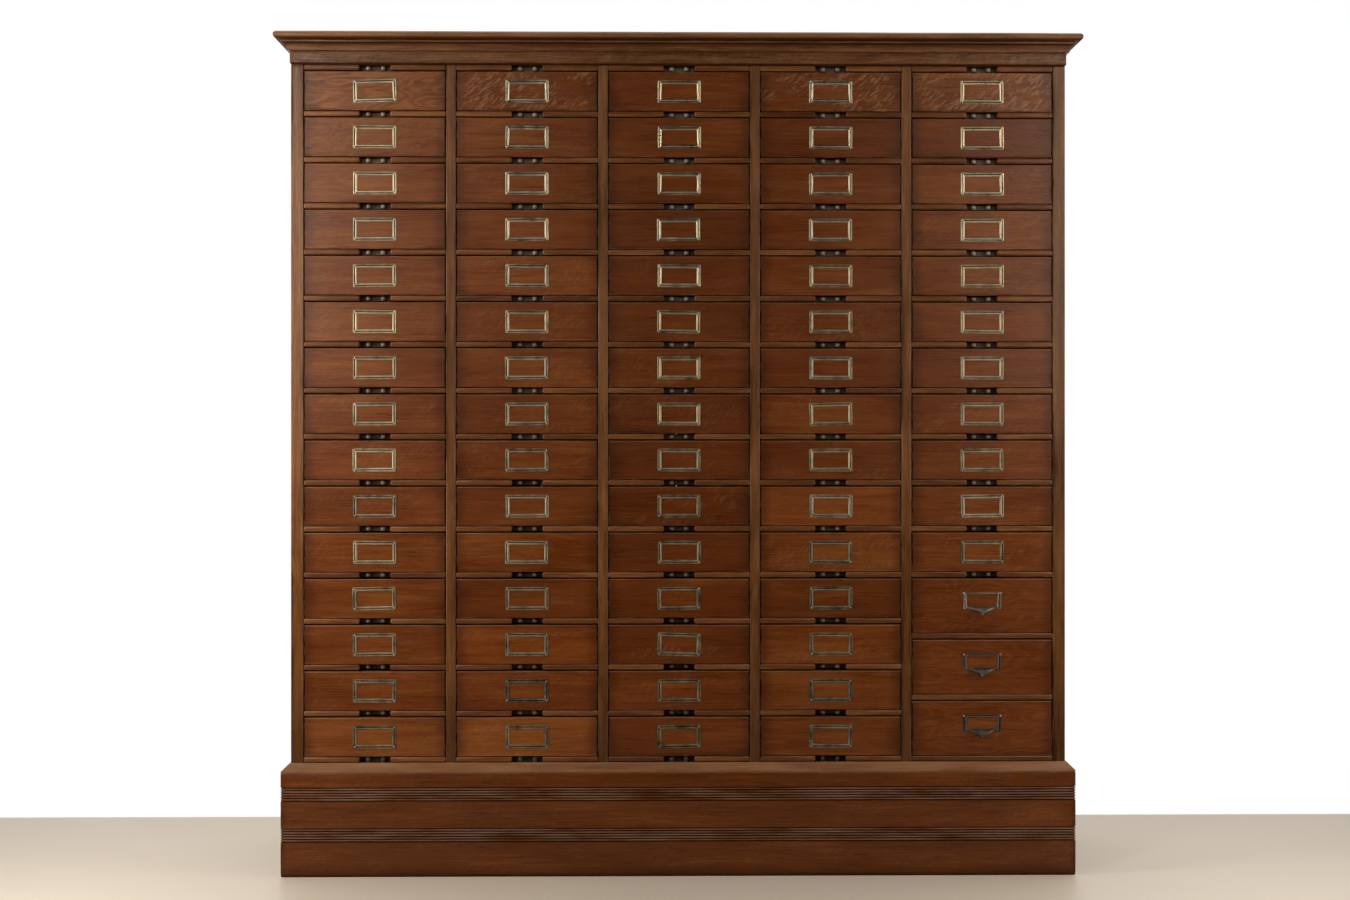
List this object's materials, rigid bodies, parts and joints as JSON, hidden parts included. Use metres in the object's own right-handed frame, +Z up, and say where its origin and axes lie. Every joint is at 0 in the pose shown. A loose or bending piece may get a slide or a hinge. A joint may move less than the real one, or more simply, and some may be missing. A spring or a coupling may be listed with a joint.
{
  "type": "apothecary cabinet",
  "caption": "Tall oak cabinet with a grid of small sliding drawers with label frames and finger notches, taller cup-pull drawers at the foot, a cornice and a reeded plinth.",
  "frame": {"origin": "on the floor, at the centre of the overall footprint", "axes": "+Z up, -Y out of the front, so drawers slide along -Y, and +X towards the column with the tall drawers"},
  "size_m": [1.6074, 0.43, 1.6783],
  "materials": {
    "top_oak": "aged satin varnish, worn nose",
    "moulding_oak": "aged satin varnish",
    "case_oak": "aged satin varnish, worn edges",
    "rail_oak": "aged satin varnish",
    "plinth_oak": "dark satin varnish, scuffed",
    "drawer_oak": "aged satin varnish, ray fleck",
    "inner_wood": "bare, dry",
    "back_wood": "bare, dry, dusty",
    "label_brass": "aged, dull",
    "pull_steel": "dark patina",
    "catch_steel": "dull spring steel"
  },
  "bodies": {
    "case": {"top_board": "top_oak", "cornice_moulding": "moulding_oak", "frieze": "moulding_oak", "case_sides": "case_oak", "partitions": "case_oak", "shelf_boards": "inner_wood", "front_rails": "rail_oak", "spring_catches": "catch_steel", "back_boards": "back_wood", "plinth_boards": "plinth_oak", "plinth_cap": "plinth_oak"},
    "drawer_bank_c1": {"drawer_bank_c1": "drawer_oak"},
    "drawer_bank_c2": {"drawer_bank_c2": "drawer_oak"},
    "drawer_c3_r01": {"drawer_c3_r01": "drawer_oak"},
    "drawer_c3_r02": {"drawer_c3_r02": "drawer_oak"},
    "drawer_c3_r03": {"drawer_c3_r03": "drawer_oak"},
    "drawer_c3_r04": {"drawer_c3_r04": "drawer_oak"},
    "drawer_c3_r05": {"drawer_c3_r05": "drawer_oak"},
    "drawer_c3_r06": {"drawer_c3_r06": "drawer_oak"},
    "drawer_c3_r07": {"drawer_c3_r07": "drawer_oak"},
    "drawer_c3_r08": {"drawer_c3_r08": "drawer_oak"},
    "drawer_c3_r09": {"drawer_c3_r09": "drawer_oak"},
    "drawer_c3_r10": {"drawer_c3_r10": "drawer_oak"},
    "drawer_c3_r11": {"drawer_c3_r11": "drawer_oak"},
    "drawer_c3_r12": {"drawer_c3_r12": "drawer_oak"},
    "drawer_c3_r13": {"drawer_c3_r13": "drawer_oak"},
    "drawer_c3_r14": {"drawer_c3_r14": "drawer_oak"},
    "drawer_c3_r15": {"drawer_c3_r15": "drawer_oak"},
    "drawer_c4_r01": {"drawer_c4_r01": "drawer_oak"},
    "drawer_c4_r02": {"drawer_c4_r02": "drawer_oak"},
    "drawer_c4_r03": {"drawer_c4_r03": "drawer_oak"},
    "drawer_c4_r04": {"drawer_c4_r04": "drawer_oak"},
    "drawer_c4_r05": {"drawer_c4_r05": "drawer_oak"},
    "drawer_c4_r06": {"drawer_c4_r06": "drawer_oak"},
    "drawer_c4_r07": {"drawer_c4_r07": "drawer_oak"},
    "drawer_c4_r08": {"drawer_c4_r08": "drawer_oak"},
    "drawer_c4_r09": {"drawer_c4_r09": "drawer_oak"},
    "drawer_c4_r10": {"drawer_c4_r10": "drawer_oak"},
    "drawer_c4_r11": {"drawer_c4_r11": "drawer_oak"},
    "drawer_c4_r12": {"drawer_c4_r12": "drawer_oak"},
    "drawer_c4_r13": {"drawer_c4_r13": "drawer_oak"},
    "drawer_c4_r14": {"drawer_c4_r14": "drawer_oak"},
    "drawer_c4_r15": {"drawer_c4_r15": "drawer_oak"},
    "drawer_c5_r01": {"drawer_c5_r01": "drawer_oak"},
    "drawer_c5_r02": {"drawer_c5_r02": "drawer_oak"},
    "drawer_c5_r03": {"drawer_c5_r03": "drawer_oak"},
    "drawer_c5_r04": {"drawer_c5_r04": "drawer_oak"},
    "drawer_c5_r05": {"drawer_c5_r05": "drawer_oak"},
    "drawer_c5_r06": {"drawer_c5_r06": "drawer_oak"},
    "drawer_c5_r07": {"drawer_c5_r07": "drawer_oak"},
    "drawer_c5_r08": {"drawer_c5_r08": "drawer_oak"},
    "drawer_c5_r09": {"drawer_c5_r09": "drawer_oak"},
    "drawer_c5_r10": {"drawer_c5_r10": "drawer_oak"},
    "drawer_c5_r11": {"drawer_c5_r11": "drawer_oak"},
    "tall_drawer_1": {"tall_drawer_1": "drawer_oak", "cup_pull_1": "pull_steel"},
    "tall_drawer_2": {"tall_drawer_2": "drawer_oak", "cup_pull_2": "pull_steel"},
    "tall_drawer_3": {"tall_drawer_3": "drawer_oak", "cup_pull_3": "pull_steel"}
  },
  "joints": [
    {"name": "slide_bank_c1", "type": "slide", "parent": "case", "child": "drawer_bank_c1", "axis": [0, -1, 0], "range_m": [0, 0.3]},
    {"name": "slide_bank_c2", "type": "slide", "parent": "case", "child": "drawer_bank_c2", "axis": [0, -1, 0], "range_m": [0, 0.3]},
    {"name": "slide_c3_r01", "type": "slide", "parent": "case", "child": "drawer_c3_r01", "axis": [0, -1, 0], "range_m": [0, 0.3]},
    {"name": "slide_c3_r02", "type": "slide", "parent": "case", "child": "drawer_c3_r02", "axis": [0, -1, 0], "range_m": [0, 0.3]},
    {"name": "slide_c3_r03", "type": "slide", "parent": "case", "child": "drawer_c3_r03", "axis": [0, -1, 0], "range_m": [0, 0.3]},
    {"name": "slide_c3_r04", "type": "slide", "parent": "case", "child": "drawer_c3_r04", "axis": [0, -1, 0], "range_m": [0, 0.3]},
    {"name": "slide_c3_r05", "type": "slide", "parent": "case", "child": "drawer_c3_r05", "axis": [0, -1, 0], "range_m": [0, 0.3]},
    {"name": "slide_c3_r06", "type": "slide", "parent": "case", "child": "drawer_c3_r06", "axis": [0, -1, 0], "range_m": [0, 0.3]},
    {"name": "slide_c3_r07", "type": "slide", "parent": "case", "child": "drawer_c3_r07", "axis": [0, -1, 0], "range_m": [0, 0.3]},
    {"name": "slide_c3_r08", "type": "slide", "parent": "case", "child": "drawer_c3_r08", "axis": [0, -1, 0], "range_m": [0, 0.3]},
    {"name": "slide_c3_r09", "type": "slide", "parent": "case", "child": "drawer_c3_r09", "axis": [0, -1, 0], "range_m": [0, 0.3]},
    {"name": "slide_c3_r10", "type": "slide", "parent": "case", "child": "drawer_c3_r10", "axis": [0, -1, 0], "range_m": [0, 0.3]},
    {"name": "slide_c3_r11", "type": "slide", "parent": "case", "child": "drawer_c3_r11", "axis": [0, -1, 0], "range_m": [0, 0.3]},
    {"name": "slide_c3_r12", "type": "slide", "parent": "case", "child": "drawer_c3_r12", "axis": [0, -1, 0], "range_m": [0, 0.3]},
    {"name": "slide_c3_r13", "type": "slide", "parent": "case", "child": "drawer_c3_r13", "axis": [0, -1, 0], "range_m": [0, 0.3]},
    {"name": "slide_c3_r14", "type": "slide", "parent": "case", "child": "drawer_c3_r14", "axis": [0, -1, 0], "range_m": [0, 0.3]},
    {"name": "slide_c3_r15", "type": "slide", "parent": "case", "child": "drawer_c3_r15", "axis": [0, -1, 0], "range_m": [0, 0.3]},
    {"name": "slide_c4_r01", "type": "slide", "parent": "case", "child": "drawer_c4_r01", "axis": [0, -1, 0], "range_m": [0, 0.3]},
    {"name": "slide_c4_r02", "type": "slide", "parent": "case", "child": "drawer_c4_r02", "axis": [0, -1, 0], "range_m": [0, 0.3]},
    {"name": "slide_c4_r03", "type": "slide", "parent": "case", "child": "drawer_c4_r03", "axis": [0, -1, 0], "range_m": [0, 0.3]},
    {"name": "slide_c4_r04", "type": "slide", "parent": "case", "child": "drawer_c4_r04", "axis": [0, -1, 0], "range_m": [0, 0.3]},
    {"name": "slide_c4_r05", "type": "slide", "parent": "case", "child": "drawer_c4_r05", "axis": [0, -1, 0], "range_m": [0, 0.3]},
    {"name": "slide_c4_r06", "type": "slide", "parent": "case", "child": "drawer_c4_r06", "axis": [0, -1, 0], "range_m": [0, 0.3]},
    {"name": "slide_c4_r07", "type": "slide", "parent": "case", "child": "drawer_c4_r07", "axis": [0, -1, 0], "range_m": [0, 0.3]},
    {"name": "slide_c4_r08", "type": "slide", "parent": "case", "child": "drawer_c4_r08", "axis": [0, -1, 0], "range_m": [0, 0.3]},
    {"name": "slide_c4_r09", "type": "slide", "parent": "case", "child": "drawer_c4_r09", "axis": [0, -1, 0], "range_m": [0, 0.3]},
    {"name": "slide_c4_r10", "type": "slide", "parent": "case", "child": "drawer_c4_r10", "axis": [0, -1, 0], "range_m": [0, 0.3]},
    {"name": "slide_c4_r11", "type": "slide", "parent": "case", "child": "drawer_c4_r11", "axis": [0, -1, 0], "range_m": [0, 0.3]},
    {"name": "slide_c4_r12", "type": "slide", "parent": "case", "child": "drawer_c4_r12", "axis": [0, -1, 0], "range_m": [0, 0.3]},
    {"name": "slide_c4_r13", "type": "slide", "parent": "case", "child": "drawer_c4_r13", "axis": [0, -1, 0], "range_m": [0, 0.3]},
    {"name": "slide_c4_r14", "type": "slide", "parent": "case", "child": "drawer_c4_r14", "axis": [0, -1, 0], "range_m": [0, 0.3]},
    {"name": "slide_c4_r15", "type": "slide", "parent": "case", "child": "drawer_c4_r15", "axis": [0, -1, 0], "range_m": [0, 0.3]},
    {"name": "slide_c5_r01", "type": "slide", "parent": "case", "child": "drawer_c5_r01", "axis": [0, -1, 0], "range_m": [0, 0.3]},
    {"name": "slide_c5_r02", "type": "slide", "parent": "case", "child": "drawer_c5_r02", "axis": [0, -1, 0], "range_m": [0, 0.3]},
    {"name": "slide_c5_r03", "type": "slide", "parent": "case", "child": "drawer_c5_r03", "axis": [0, -1, 0], "range_m": [0, 0.3]},
    {"name": "slide_c5_r04", "type": "slide", "parent": "case", "child": "drawer_c5_r04", "axis": [0, -1, 0], "range_m": [0, 0.3]},
    {"name": "slide_c5_r05", "type": "slide", "parent": "case", "child": "drawer_c5_r05", "axis": [0, -1, 0], "range_m": [0, 0.3]},
    {"name": "slide_c5_r06", "type": "slide", "parent": "case", "child": "drawer_c5_r06", "axis": [0, -1, 0], "range_m": [0, 0.3]},
    {"name": "slide_c5_r07", "type": "slide", "parent": "case", "child": "drawer_c5_r07", "axis": [0, -1, 0], "range_m": [0, 0.3]},
    {"name": "slide_c5_r08", "type": "slide", "parent": "case", "child": "drawer_c5_r08", "axis": [0, -1, 0], "range_m": [0, 0.3]},
    {"name": "slide_c5_r09", "type": "slide", "parent": "case", "child": "drawer_c5_r09", "axis": [0, -1, 0], "range_m": [0, 0.3]},
    {"name": "slide_c5_r10", "type": "slide", "parent": "case", "child": "drawer_c5_r10", "axis": [0, -1, 0], "range_m": [0, 0.3]},
    {"name": "slide_c5_r11", "type": "slide", "parent": "case", "child": "drawer_c5_r11", "axis": [0, -1, 0], "range_m": [0, 0.3]},
    {"name": "slide_tall_1", "type": "slide", "parent": "case", "child": "tall_drawer_1", "axis": [0, -1, 0], "range_m": [0, 0.3]},
    {"name": "slide_tall_2", "type": "slide", "parent": "case", "child": "tall_drawer_2", "axis": [0, -1, 0], "range_m": [0, 0.3]},
    {"name": "slide_tall_3", "type": "slide", "parent": "case", "child": "tall_drawer_3", "axis": [0, -1, 0], "range_m": [0, 0.3]}
  ]
}
